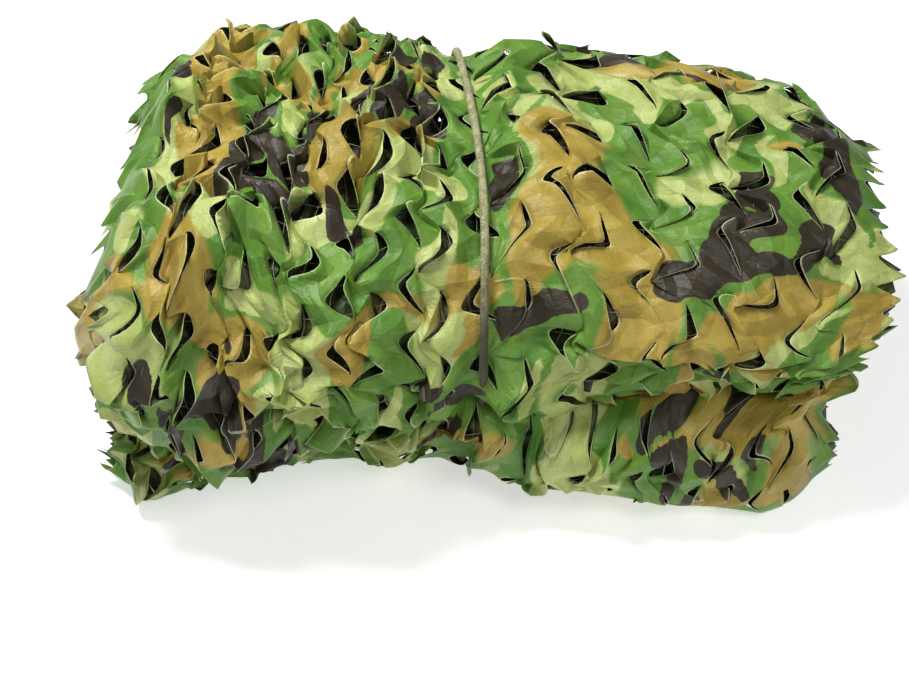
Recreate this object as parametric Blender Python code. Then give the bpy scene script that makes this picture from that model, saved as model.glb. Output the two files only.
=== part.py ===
"""Camouflage netting, folded into a loaf and tied round its middle with one cord.

The net is one long strip. It lies in thirds, one inside another, and the three
plies together are folded in thirds again, so a cut across the bundle meets nine
layers. Leaf slits are cut through the layers that lie on the outside.
X runs along the bundle, -Y is its front and Z is up. Lengths are in metres.
"""
import bpy
import numpy as np

# Net strip
SHEET = 0.0045            # thickness of one layer, three plies lying together
HALF_LENGTH = 0.237       # half the strip's width, along X
PLY_PITCH = 0.0248        # height from layer to layer inside a stack
STACK_PITCH = 0.0180      # height from layer to layer where two stacks meet
HALF_DEPTH = 0.160        # half the folded depth, along Y

# Leaf cut
COLUMNS = 5               # leaf cells on each side of the cord's bed
BED = 0.008               # half the width of the uncut bed below the cord
END_JAG = 0.006           # how far the cut ends zigzag
LEAF_LIFT = 0.0075        # how far a leaf's tip stands off the net
LEAF_VARIES = 0.45        # share by which that differs from leaf to leaf
LEAF_WANDER = 0.035       # how far a slit's points wander in their cell
LIFT_FLOOR = 0.02         # no tip is raised below this height
LIFT_FADE = 0.03          # distance from floor or crease to a tip's full rise

# Tie
CORD_RADIUS = 0.0025
CORD_CLEAR = 0.0006       # space between the cord and the net
CORD_STEPS = 72
CORD_SIDES = 8

# Height of each layer's middle, bottom layer first
LAYER_STEPS = (PLY_PITCH, PLY_PITCH, STACK_PITCH) * 2 + (PLY_PITCH, PLY_PITCH)
LAYER_Z = SHEET / 2 + np.concatenate(([0.0], np.cumsum(LAYER_STEPS)))
FULL_HEIGHT = LAYER_Z[-1] + SHEET / 2
CREASE_Z = (LAYER_Z[2] + LAYER_Z[3]) / 2

# Depths at which the folds turn
FRONT_TURN = -HALF_DEPTH + (LAYER_Z[8] - LAYER_Z[3]) / 2 + SHEET / 2
LOW_TURN = -HALF_DEPTH + (LAYER_Z[2] - LAYER_Z[0]) / 2 + SHEET / 2
BACK_TURN = HALF_DEPTH - (LAYER_Z[5] - LAYER_Z[0]) / 2 - SHEET / 2
TOP_BACK_TURN = HALF_DEPTH - 2 * PLY_PITCH - SHEET / 2

# Each layer in the order the cloth runs through it, with the turn that follows.
# A row of leaves takes two steps.
# columns: layer, depth where it ends, run steps, turn steps, cut run, cut turn
FOLDS = (
    (8, FRONT_TURN, 10, 8, True, True),
    (3, BACK_TURN, 4, 4, False, False),
    (2, LOW_TURN, 4, 4, False, True),
    (0, BACK_TURN, 4, 8, False, True),
    (5, FRONT_TURN, 4, 4, False, False),
    (6, TOP_BACK_TURN, 4, 4, False, False),
    (7, FRONT_TURN, 4, 6, False, False),
    (4, BACK_TURN, 4, 6, False, False),
    (1, LOW_TURN, 4, 0, False, False),
)
DROOP_STEPS = 4

# The bundle's outline along X.
# columns: x, height, back, front of the upper fold, front of the lower fold,
# height of the crease between them
OUTLINE = (
    (-0.240, 0.176, 0.136, -0.158, -0.136, 0.050),
    (-0.205, 0.198, 0.150, -0.174, -0.144, 0.052),
    (-0.140, 0.205, 0.151, -0.180, -0.130, 0.050),
    (-0.070, 0.200, 0.150, -0.168, -0.124, 0.052),
    (0.000, 0.194, 0.144, -0.150, -0.130, 0.060),
    (0.045, 0.188, 0.147, -0.142, -0.154, 0.068),
    (0.090, 0.180, 0.147, -0.137, -0.160, 0.076),
    (0.140, 0.172, 0.145, -0.135, -0.162, 0.084),
    (0.200, 0.160, 0.135, -0.138, -0.154, 0.084),
    (0.240, 0.140, 0.110, -0.128, -0.128, 0.072),
)
LEFT_TAPER = 0.20         # how much shorter the left half is at the back
TAPER_FROM = -0.165       # depths between which that taper grows
TAPER_TO = 0.135
LOW_SHORT_LEFT = 0.07     # how much shorter the lower fold is at its front
LOW_SHORT_RIGHT = 0.15
ROUNDING = 0.26           # how much lower the top is at the front and back
ROUNDING_POWER = 2.6

# Waist below the cord
WAIST_REACH = 0.027       # how far along X the pull of the cord is felt
WAIST_TOP = 0.035         # share of the height taken off the top
WAIST_SIDE = 0.080        # share of the depth taken off front and back
WAIST_LIFT = 0.0095       # rise of the underside
TIE_LEAN = -0.022         # how far the cord leans along X at the back
LEAN_FROM = -0.109        # depths between which it comes to that lean
LEAN_TO = 0.151
LOW_LEAN = -0.013         # how far it leans under the front
LOW_LEAN_TOP = 0.08       # height at which that lean is gone
LEAN_SPREAD = 0.55        # lower spreads the lean further into the net

CALM_HEIGHT = 0.05        # the lumps fade out below this, so the underside is flat

# Soft lumps, columns: size, waves per metre along X, Y and Z, start of the wave
LUMPS = (
    (0.0050, 27.0, 21.0, 9.0, 0.7),
    (0.0034, -41.0, 33.0, 14.0, 2.1),
    (0.0028, 58.0, 12.0, -20.0, 4.0),
)

# One leaf cell, as shares of its width (u) and of its row (w).
# Edge points run round the cell, hole points round the slit.
EDGE = ((0, 0), (0.5, 0), (1, 0), (1, 0.5), (1, 1), (0.5, 1), (0, 1), (0, 0.5))
HOLE = ((0.55, 0.11), (0.23, 0.28), (0.20, 0.43), (0.64, 0.92), (0.48, 0.46))
LEAF_TIP = 4
CELL_FACES = (
    ("e0", "e1", "h0"), ("e0", "h0", "h1"), ("e0", "h1", "e7"), ("h1", "h2", "e7"),
    ("e7", "h2", "e6"), ("h2", "h3", "e6"), ("e6", "h3", "e5"), ("e5", "h3", "e4"),
    ("h3", "e3", "e4"), ("h3", "h4", "e3"), ("h4", "e2", "e3"), ("h4", "h0", "e2"),
    ("h0", "e1", "e2"),
)


def soft_step(value):
    """Rise from 0 to 1 with level ends."""
    value = np.clip(value, 0.0, 1.0)
    return value * value * (3.0 - 2.0 * value)


def bell(x):
    """1 on the cord's bed, falling to 0 away from it."""
    return np.exp(-(np.maximum(np.abs(x) - BED, 0.0) / WAIST_REACH) ** 2)


def tie_x(y, z):
    """X of the cord: straight down the front, leaning at the back and below."""
    far = soft_step((y - LEAN_FROM) / (LEAN_TO - LEAN_FROM))
    near_floor = 1.0 - soft_step(z / LOW_LEAN_TOP)
    return TIE_LEAN * far + LOW_LEAN * (1.0 - far) * near_floor


def lie(x, y, z):
    """Carry a point of the neat fold to where it lies in the bundle."""
    outline = np.array(OUTLINE)
    height, back, front, lower, crease = [
        np.interp(x, outline[:, 0], outline[:, k]) for k in range(1, 6)]
    pull = bell(x)
    share = z / FULL_HEIGHT
    reach = np.abs(y) / HALF_DEPTH
    is_low = 1.0 - soft_step((z - CREASE_Z) / STACK_PITCH + 0.5)

    near = front + (lower - front) * is_low
    new_y = np.where(y < 0.0, -near, back) * y / HALF_DEPTH
    new_y = new_y * (1.0 - WAIST_SIDE * pull)

    settled = np.interp(z, (0.0, CREASE_Z, FULL_HEIGHT), (0.0, crease, height))
    settled = settled + np.maximum(z - FULL_HEIGHT, 0.0)
    rounded = 1.0 - ROUNDING * np.minimum(reach, 1.1) ** ROUNDING_POWER * share
    new_z = settled * rounded * (1.0 - WAIST_TOP * pull * share)
    new_z = new_z + WAIST_LIFT * pull * (1.0 - share)

    short = np.where(x < 0.0, LOW_SHORT_LEFT, LOW_SHORT_RIGHT)
    short = short * is_low * soft_step(0.5 - y / HALF_DEPTH)
    taper = np.where(x < 0.0, LEFT_TAPER, 0.0) * soft_step(1.3 * share)
    taper = taper * soft_step((y - TAPER_FROM) / (TAPER_TO - TAPER_FROM))
    new_x = x * (1.0 - short) * (1.0 - taper) + tie_x(new_y, new_z) * bell(x * LEAN_SPREAD)

    calm = soft_step(z / CALM_HEIGHT) * (1.0 - pull)
    for size, along, deep, high, start in LUMPS:
        wave = np.sin(along * x + deep * y + high * z + start)
        new_z = new_z + size * wave * calm
        new_y = new_y + size * np.cos(along * x - high * z + start) * calm
    return new_x, new_y, new_z


def turn_points(y, z_from, z_to, side, steps):
    """Half circle from one layer to another, bulging to the given side."""
    angle = np.pi * np.arange(1, steps + 1) / steps
    middle = (z_from + z_to) / 2
    radius = (z_from - z_to) / 2
    depth = y + side * abs(radius) * np.sin(angle)
    return np.column_stack((depth, middle + radius * np.cos(angle)))


def section_path():
    """Centre line of the cloth in the section, and where rows of leaves start."""
    angle = np.pi / 2 * np.arange(DROOP_STEPS) / DROOP_STEPS
    radius = 2 * PLY_PITCH
    points = [np.column_stack((
        TOP_BACK_TURN + radius * np.cos(angle),
        LAYER_Z[8] - radius + radius * np.sin(angle),
    ))]
    points.append(np.array([[TOP_BACK_TURN, LAYER_Z[8]]]))
    rows = list(range(0, DROOP_STEPS, 2))
    count = DROOP_STEPS
    start = TOP_BACK_TURN
    for index, fold in enumerate(FOLDS):
        layer, end, run_steps, turn_steps, run_is_cut, turn_is_cut = fold
        share = np.arange(1, run_steps + 1) / run_steps
        depth = start + (end - start) * share
        points.append(np.column_stack((depth, np.full(run_steps, LAYER_Z[layer]))))
        if run_is_cut:
            rows.extend(range(count, count + run_steps, 2))
        count += run_steps
        if turn_steps:
            next_layer = FOLDS[index + 1][0]
            side = np.sign(end - start)
            points.append(turn_points(
                end, LAYER_Z[layer], LAYER_Z[next_layer], side, turn_steps))
            if turn_is_cut:
                rows.extend(range(count, count + turn_steps, 2))
            count += turn_steps
        start = end
    return np.vstack(points), rows


def path_normals(path):
    """Unit normals of the centre line, on the side that is up at the start."""
    ahead = np.gradient(path, axis=0)
    ahead = ahead / np.linalg.norm(ahead, axis=1)[:, None]
    return np.column_stack((ahead[:, 1], -ahead[:, 0]))


def stations():
    """X of each grid line, and which lines bound a whole cell."""
    right = np.linspace(BED, HALF_LENGTH, 2 * COLUMNS + 1)
    lines = np.concatenate((-right[::-1], right))
    bounds = list(range(0, 2 * COLUMNS + 1, 2))
    bounds += list(range(2 * COLUMNS + 1, 4 * COLUMNS + 2, 2))
    return lines, bounds


def unevenness(column, place, salt):
    """Repeatable number from -1 to 1 for one leaf."""
    value = np.sin(column * 12.9898 + place * 78.233 + salt * 37.719) * 43758.5453
    return 2.0 * (value - np.floor(value)) - 1.0


class Sheet:
    """Points and faces of the folded net, two skins a sheet's thickness apart."""

    def __init__(self):
        self.path, self.rows = section_path()
        self.normals = path_normals(self.path)
        self.lines, self.bounds = stations()
        self.points = []
        self.faces = []
        self.known = {}

    def place(self, x, where, skin, lift):
        """Add the point at x and at a fractional place along the path."""
        steps = np.arange(len(self.path))
        middle = [np.interp(where, steps, self.path[:, k]) for k in (0, 1)]
        normal = [np.interp(where, steps, self.normals[:, k]) for k in (0, 1)]
        length = np.hypot(normal[0], normal[1])
        off = (lift + skin * SHEET / 2) / length
        self.points.append(lie(x, middle[0] + off * normal[0], middle[1] + off * normal[1]))
        return len(self.points) - 1

    def grid(self, line, step, skin):
        """Point where a grid line crosses a step of the path, made once."""
        key = (line, step, skin)
        if key not in self.known:
            x = self.lines[line]
            if line in (0, len(self.lines) - 1):
                jag = END_JAG * (1.0 if step % 2 else -1.0)
                x = x + np.sign(x) * jag + 0.4 * END_JAG * unevenness(line, step, 5)
            self.known[key] = self.place(x, step, skin, 0.0)
        return self.known[key]

    def skin_face(self, corners, skin):
        """Add a face of one skin, turned to face away from the other skin."""
        self.faces.append(corners[::-1] if skin > 0 else corners)

    def leaf_cell(self, left, right, row):
        """Two skins of a cell with its slit, and the slit's cut edge."""
        width = self.lines[right] - self.lines[left]
        safe = np.interp(row + 1, np.arange(len(self.path)), self.path[:, 1])
        lift = LEAF_LIFT * (1.0 + LEAF_VARIES * unevenness(left, row, 1))
        lift = lift * soft_step((safe - LIFT_FLOOR) / LIFT_FADE)
        lift = lift * soft_step(abs(safe - CREASE_Z) / LIFT_FADE)
        rings = {}
        for skin in (1, -1):
            ring = {}
            for index, (u, w) in enumerate(EDGE):
                line = (left, left + 1, right)[int(2 * u)]
                ring["e%d" % index] = self.grid(line, row + int(2 * w), skin)
            for index, (u, w) in enumerate(HOLE):
                u = u + LEAF_WANDER * unevenness(left, row, 2 + index)
                w = w + LEAF_WANDER * unevenness(left, row, 9 + index)
                raised = lift if index == LEAF_TIP else 0.0
                x = self.lines[left] + width * u
                ring["h%d" % index] = self.place(x, row + 2 * w, skin, raised)
            for names in CELL_FACES:
                self.skin_face([ring[name] for name in names], skin)
            rings[skin] = ring
        for index in range(len(HOLE)):
            here = "h%d" % index
            there = "h%d" % ((index + 1) % len(HOLE))
            top, base = rings[1], rings[-1]
            self.faces.append([top[here], top[there], base[here]])
            self.faces.append([base[here], top[there], base[there]])

    def plain_cell(self, left, right, step, fine):
        """Two skins of an uncut cell one step long."""
        middle = [left + 1] if right - left > 1 else []
        for skin in (1, -1):
            near = [left] + (middle if fine[step] else []) + [right]
            far = [left] + (middle if fine[step + 1] else []) + [right]
            near = [self.grid(line, step, skin) for line in near]
            far = [self.grid(line, step + 1, skin) for line in far]
            if len(near) > len(far):
                self.skin_face([near[0], near[1], far[0]], skin)
                self.skin_face([near[1], far[1], far[0]], skin)
                self.skin_face([near[1], near[2], far[1]], skin)
            elif len(far) > len(near):
                self.skin_face([near[0], far[1], far[0]], skin)
                self.skin_face([near[0], near[1], far[1]], skin)
                self.skin_face([near[1], far[2], far[1]], skin)
            else:
                for k in range(len(near) - 1):
                    self.skin_face([near[k], near[k + 1], far[k]], skin)
                    self.skin_face([near[k + 1], far[k + 1], far[k]], skin)

    def edge_strip(self, here, there):
        """Close the cut edge between two neighbouring grid places."""
        a = self.grid(here[0], here[1], 1)
        b = self.grid(there[0], there[1], 1)
        c = self.grid(there[0], there[1], -1)
        d = self.grid(here[0], here[1], -1)
        self.faces.append([a, b, d])
        self.faces.append([b, c, d])

    def build(self):
        """Fill in every cell, then the two ends and the two raw edges."""
        steps = len(self.path) - 1
        cut = set(self.rows) | {row + 1 for row in self.rows}
        fine = [step in cut or step - 1 in cut for step in range(steps + 1)]
        pairs = list(zip(self.bounds[:-1], self.bounds[1:]))
        for left, right in pairs:
            for step in range(steps):
                if right - left > 1 and step in cut:
                    if step in self.rows:
                        self.leaf_cell(left, right, step)
                else:
                    self.plain_cell(left, right, step, fine)
        last = len(self.lines) - 1
        for step in range(steps):
            self.edge_strip((0, step + 1), (0, step))
            self.edge_strip((last, step), (last, step + 1))
        for step, is_first in ((0, True), (steps, False)):
            for left, right in pairs:
                lines = [left, right]
                if right - left > 1 and fine[step]:
                    lines = [left, left + 1, right]
                for here, there in zip(lines[:-1], lines[1:]):
                    if is_first:
                        self.edge_strip((here, step), (there, step))
                    else:
                        self.edge_strip((there, step), (here, step))


def cord_route(sheet):
    """Closed route of the cord, drawn tight round the waist.

    The distance from the waist's middle to its tangent line is taken in every
    direction. The route is the curve that all those tangent lines touch, moved
    out by the cord's radius and its clearance.
    """
    bed = (2 * COLUMNS, 2 * COLUMNS + 1)
    touched = [sheet.points[index] for key, index in sheet.known.items() if key[0] in bed]
    touched = np.array(touched, dtype=float)
    middle = touched[:, 1:].mean(axis=0)
    angle = 2 * np.pi * np.arange(1440) / 1440
    ways = np.column_stack((np.cos(angle), np.sin(angle)))
    reach = ((touched[:, 1:] - middle) @ ways.T).max(axis=0)
    spread = np.hanning(41)
    spread = spread / spread.sum()
    padded = np.concatenate((reach[-20:], reach, reach[:20]))
    smooth = np.convolve(padded, spread, mode="valid")
    smooth = smooth + (reach - smooth).max()
    slope = np.gradient(np.concatenate((smooth[-2:], smooth, smooth[:2])), angle[1])[2:-2]
    away = smooth + CORD_RADIUS + CORD_CLEAR
    across = np.column_stack((-np.sin(angle), np.cos(angle)))
    flat = middle + away[:, None] * ways + slope[:, None] * across
    loop = np.vstack((flat, flat[:1]))
    run = np.concatenate(([0.0], np.cumsum(np.linalg.norm(np.diff(loop, axis=0), axis=1))))
    even = run[-1] * np.arange(CORD_STEPS) / CORD_STEPS
    y = np.interp(even, run, loop[:, 0])
    z = np.interp(even, run, loop[:, 1])
    return np.column_stack((tie_x(y, z), y, z))


def cord_mesh(route):
    """Round closed tube along the route."""
    ahead = np.roll(route, -1, axis=0) - np.roll(route, 1, axis=0)
    ahead = ahead / np.linalg.norm(ahead, axis=1)[:, None]
    side = np.cross(ahead, np.array([1.0, 0.0, 0.0]))
    side = side / np.linalg.norm(side, axis=1)[:, None]
    other = np.cross(ahead, side)
    angle = 2 * np.pi * np.arange(CORD_SIDES) / CORD_SIDES
    ring = np.cos(angle)[None, :, None] * side[:, None] + np.sin(angle)[None, :, None] * other[:, None]
    points = (route[:, None] + CORD_RADIUS * ring).reshape(-1, 3)
    faces = []
    for step in range(CORD_STEPS):
        for k in range(CORD_SIDES):
            a = step * CORD_SIDES + k
            b = step * CORD_SIDES + (k + 1) % CORD_SIDES
            c = (step + 1) % CORD_STEPS * CORD_SIDES + (k + 1) % CORD_SIDES
            d = (step + 1) % CORD_STEPS * CORD_SIDES + k
            faces.append([a, b, c])
            faces.append([a, c, d])
    return points, faces


def material(name, colour, roughness):
    """Plain coloured surface."""
    made = bpy.data.materials.new(name)
    made.use_nodes = True
    shader = made.node_tree.nodes["Principled BSDF"]
    shader.inputs["Base Color"].default_value = (*colour, 1.0)
    shader.inputs["Roughness"].default_value = roughness
    return made


def add_object(name, points, faces, surface):
    """Put a mesh in the scene under its name."""
    mesh = bpy.data.meshes.new(name)
    mesh.from_pydata([tuple(map(float, point)) for point in points], [], faces)
    mesh.validate()
    mesh.materials.append(surface)
    made = bpy.data.objects.new(name, mesh)
    bpy.context.scene.collection.objects.link(made)
    return made


for old in list(bpy.data.objects):
    bpy.data.objects.remove(old, do_unlink=True)

net_sheet = Sheet()
net_sheet.build()
all_points = np.array(net_sheet.points, dtype=float)
centre = (all_points.max(axis=0) + all_points.min(axis=0)) / 2
centre[2] = all_points[:, 2].min()

net_cloth = material("net_cloth", (0.16, 0.24, 0.07), 0.6)
add_object("net", all_points - centre, net_sheet.faces, net_cloth)

tie_points, tie_faces = cord_mesh(cord_route(net_sheet) - centre)
tie_cloth = material("tie_cord", (0.20, 0.19, 0.10), 0.7)
add_object("tie_cord", tie_points, tie_faces, tie_cloth)
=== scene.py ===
"""Camouflage netting, folded into a loaf and tied round its middle with one cord.

X runs along the bundle, -Y is its front and Z is up. Lengths are in metres.
"""

import math
from collections import namedtuple

import bpy
import numpy as np
from mathutils import Matrix, Vector


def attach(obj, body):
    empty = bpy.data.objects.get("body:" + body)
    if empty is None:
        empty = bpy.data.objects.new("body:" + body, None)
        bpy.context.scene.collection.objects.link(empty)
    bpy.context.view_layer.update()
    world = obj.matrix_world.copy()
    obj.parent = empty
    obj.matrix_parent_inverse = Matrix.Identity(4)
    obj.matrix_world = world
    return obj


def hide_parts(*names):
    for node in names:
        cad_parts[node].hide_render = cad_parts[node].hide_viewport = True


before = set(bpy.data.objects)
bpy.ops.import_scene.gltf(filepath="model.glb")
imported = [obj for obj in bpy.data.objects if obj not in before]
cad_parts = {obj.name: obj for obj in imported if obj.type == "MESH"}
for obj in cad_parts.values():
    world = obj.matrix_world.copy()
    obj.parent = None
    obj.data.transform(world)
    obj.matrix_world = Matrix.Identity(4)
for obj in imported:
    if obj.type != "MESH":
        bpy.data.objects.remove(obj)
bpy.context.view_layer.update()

# ------------------------------------------------------------------ camera
# The photograph looks down on the bundle's long front side, from a little over
# a metre away. The lens is that of a small product studio.

IMAGE_WIDTH = 909
FOCAL_PIXELS = 2000.0
SENSOR_WIDTH = 36.0       # millimetres
ELEVATION = math.radians(39.0)
DISTANCE = 1.25
AIM = Vector((0.0, 0.0, 0.085))
AIM_RIGHT = 33.5          # pixels from the middle of the picture to the aimed point
AIM_UP = 80.5


def look(aim, elevation, distance, right, up):
    """Camera matrix: aim stands right and up of the picture's middle, and the picture is level."""
    place = aim + distance * Vector((0.0, -math.cos(elevation), math.sin(elevation)))
    turn = math.atan2(right, FOCAL_PIXELS)
    tilt = elevation + math.atan2(up, FOCAL_PIXELS)
    level = Matrix.Rotation(turn, 4, "Z") @ Matrix.Rotation(math.pi / 2 - tilt, 4, "X")
    return Matrix.Translation(place) @ level


lens = bpy.data.cameras.new("camera")
lens.sensor_fit = "HORIZONTAL"
lens.sensor_width = SENSOR_WIDTH
lens.lens = SENSOR_WIDTH * FOCAL_PIXELS / IMAGE_WIDTH
lens.clip_start = 0.05
lens.clip_end = 30.0
camera = bpy.data.objects.new("camera", lens)
camera.matrix_world = look(AIM, ELEVATION, DISTANCE, AIM_RIGHT, AIM_UP)
bpy.context.scene.collection.objects.link(camera)
bpy.context.scene.camera = camera

# ------------------------------------------------------------------ tie cord
# One soft braided polyester cord, 5 mm thick, passed once round the folded net
# and joined underneath. It is khaki with dark flecks and has no loose end.

CORD_RADIUS = 0.0024
# Middle of the cord, from the back over the top, down the front and underneath
CORD_ROUTE = (
    (-0.0219, 0.1494, 0.0863),
    (-0.0219, 0.1489, 0.1083),
    (-0.0218, 0.1441, 0.1294),
    (-0.0212, 0.1321, 0.1478),
    (-0.0202, 0.1170, 0.1636),
    (-0.0187, 0.0987, 0.1755),
    (-0.0166, 0.0783, 0.1833),
    (-0.0141, 0.0569, 0.1882),
    (-0.0113, 0.0351, 0.1906),
    (-0.0086, 0.0132, 0.1913),
    (-0.0059, -0.0087, 0.1908),
    (-0.0036, -0.0305, 0.1888),
    (-0.0018, -0.0520, 0.1846),
    (-0.0006, -0.0728, 0.1778),
    (-0.0001, -0.0915, 0.1664),
    (-0.0001, -0.1074, 0.1515),
    (-0.0001, -0.1207, 0.1341),
    (-0.0001, -0.1292, 0.1141),
    (-0.0001, -0.1279, 0.0926),
    (-0.0005, -0.1234, 0.0711),
    (-0.0043, -0.1184, 0.0498),
    (-0.0093, -0.1126, 0.0287),
    (-0.0124, -0.1011, 0.0113),
    (-0.0130, -0.0804, 0.0058),
    (-0.0135, -0.0585, 0.0049),
    (-0.0142, -0.0365, 0.0043),
    (-0.0151, -0.0146, 0.0040),
    (-0.0162, 0.0073, 0.0040),
    (-0.0173, 0.0292, 0.0041),
    (-0.0185, 0.0511, 0.0046),
    (-0.0196, 0.0730, 0.0052),
    (-0.0205, 0.0949, 0.0064),
    (-0.0213, 0.1162, 0.0113),
    (-0.0217, 0.1337, 0.0243),
    (-0.0219, 0.1452, 0.0429),
    (-0.0219, 0.1489, 0.0644),
)
CORD_SHIFT = 0.0025       # the cord has slipped this far to the right of its bed
SHIFT_HEIGHT = 0.10       # and below this height less
CORD_RINGS = 1320
CORD_SIDES = 28
BRAID_PITCH = 0.020       # length in which one strand goes once round the cord
BRAID_STRANDS = 8         # strands that run each way
BRAID_DEPTH = 0.00035
BRAID_MIDDLE = 0.6        # height of the ridges, of 1, that lies on the cord's radius
CROSSING = 0.3            # share by which a strand lies higher on top of a crossing, or lower below
# columns: share of the radius, waves in the whole loop, start
CORD_SWELLS = ((0.05, 9, 0.0), (0.04, 23, 1.0))
# Painted shade: the cord is darkened below this height, fading in over this far, where the folds shadow it
SHADE_BELOW = 0.170
SHADE_FADE = 0.040

KHAKI = ((0.25, 0.24, 0.11), (0.42, 0.40, 0.22))
DARK_FLECKS = ((0.10, 0.10, 0.035), (0.17, 0.17, 0.07))
# Painted shade in the grooves between the strands
STRAND_GROOVE_SHADE = (0.03, 0.035, 0.015)
# Colour of the painted shade on the cord's lower part, and how far it covers the cord's own colour
CORD_SHADE = (0.006, 0.007, 0.003)
CORD_SHADE_COVER = 0.84


def closed_curve(points, count):
    """Smooth loop through the points.

    Each span is a cubic whose slope at a point is half the step between its neighbours.
    """
    points = np.array(points)
    at = len(points) * np.arange(count) / count
    first = np.floor(at).astype(int)
    share = (at - first)[:, None]
    p0, p1, p2, p3 = [points[(first + k) % len(points)] for k in (-1, 0, 1, 2)]
    bend = 2 * p0 - 5 * p1 + 4 * p2 - p3
    twist = 3 * p1 - p0 - 3 * p2 + p3
    return p1 + 0.5 * share * ((p2 - p0) + share * (bend + share * twist))


def mesh_piece(name, points, faces, flat=None, numbers=None, crease=None):
    """Put a mesh in the scene, with its cloth coordinates and its named numbers at the points."""
    mesh = bpy.data.meshes.new(name)
    mesh.vertices.add(len(points))
    mesh.vertices.foreach_set("co", np.asarray(points, np.float32).ravel())
    mesh.loops.add(faces.size)
    mesh.loops.foreach_set("vertex_index", faces.ravel().astype(np.int32))
    mesh.polygons.add(len(faces))
    mesh.polygons.foreach_set("loop_start", np.arange(0, faces.size, faces.shape[1], dtype=np.int32))
    mesh.update(calc_edges=True)
    mesh.polygons.foreach_set("use_smooth", np.ones(len(faces), bool))
    if crease is not None:
        mesh.set_sharp_from_angle(angle=math.radians(crease))
    if flat is not None:
        layer = mesh.uv_layers.new(name="flat")
        layer.data.foreach_set("uv", np.asarray(flat, np.float32)[faces.ravel()].ravel())
    for title, values in (numbers or {}).items():
        attribute = mesh.attributes.new(title, "FLOAT", "POINT")
        attribute.data.foreach_set("value", np.asarray(values, np.float32))
    made = bpy.data.objects.new(name, mesh)
    bpy.context.scene.collection.objects.link(made)
    return made


def braided_cord(route, rings, sides):
    """Tube round the route, with painted shade on its lower part.

    Its radius is the higher of two families of ridges that wind opposite ways
    and take turns on top, with slow swells along the loop.
    """
    line = closed_curve(route, rings)
    line[:, 0] += CORD_SHIFT * np.clip(line[:, 2] / SHIFT_HEIGHT, 0.0, 1.0)
    ahead = np.roll(line, -1, axis=0) - np.roll(line, 1, axis=0)
    ahead = ahead / np.linalg.norm(ahead, axis=1)[:, None]
    side = np.cross(ahead, (1.0, 0.0, 0.0))
    side = side / np.linalg.norm(side, axis=1)[:, None]
    other = np.cross(ahead, side)
    step = np.linalg.norm(np.roll(line, -1, axis=0) - line, axis=1)
    length = step.sum()
    run = np.concatenate(([0.0], np.cumsum(step)[:-1]))[:, None]
    turns = round(length / BRAID_PITCH) / length
    angle = 2 * np.pi * np.arange(sides)[None, :] / sides
    wind = 2 * np.pi * turns * run
    right = 0.5 + 0.5 * np.cos(BRAID_STRANDS * (angle - wind))
    left = 0.5 + 0.5 * np.cos(BRAID_STRANDS * (angle + wind))
    over = np.cos(BRAID_STRANDS * angle) * np.cos(BRAID_STRANDS * wind)
    level = 1.0 - CROSSING
    ridge = np.maximum(right * (level + CROSSING * over), left * (level - CROSSING * over))
    uneven = sum(
        size * np.sin(2 * np.pi * run * count / length + start) for size, count, start in CORD_SWELLS)
    radius = CORD_RADIUS * (1.0 + uneven) + BRAID_DEPTH * (ridge - BRAID_MIDDLE)
    ring = np.cos(angle)[..., None] * side[:, None] + np.sin(angle)[..., None] * other[:, None]
    points = line[:, None] + radius[..., None] * ring
    index = np.arange(rings * sides).reshape(rings, sides)
    ahead_index = np.roll(index, -1, axis=0)
    corners = (index, np.roll(index, -1, axis=1), np.roll(ahead_index, -1, axis=1), ahead_index)
    quads = np.stack(corners, axis=-1).reshape(-1, 4)
    flat = np.stack(np.broadcast_arrays(run, angle * CORD_RADIUS), axis=-1).reshape(-1, 2)
    # Share of painted shade: 0 above the height where it begins, growing to 1 lower down
    painted_shade = np.clip((SHADE_BELOW - points[..., 2]) / SHADE_FADE, 0.0, 1.0)
    return points.reshape(-1, 3), quads, flat, {"ridge": ridge.ravel(), "painted_shade": painted_shade.ravel()}


class Wire:
    """A shader node's output, which takes part in sums."""

    def __init__(self, finish, socket):
        self.finish = finish
        self.socket = socket

    def sum(self, operation, *values):
        """One Math node on the values."""
        return self.finish.node("Math", {"operation": operation}, dict(enumerate(values)))

    def __add__(self, other):
        return self.sum("ADD", self, other)

    def __radd__(self, other):
        return self.sum("ADD", other, self)

    def __sub__(self, other):
        return self.sum("SUBTRACT", self, other)

    def __rsub__(self, other):
        return self.sum("SUBTRACT", other, self)

    def __mul__(self, other):
        return self.sum("MULTIPLY", self, other)

    def __rmul__(self, other):
        return self.sum("MULTIPLY", other, self)


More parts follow.
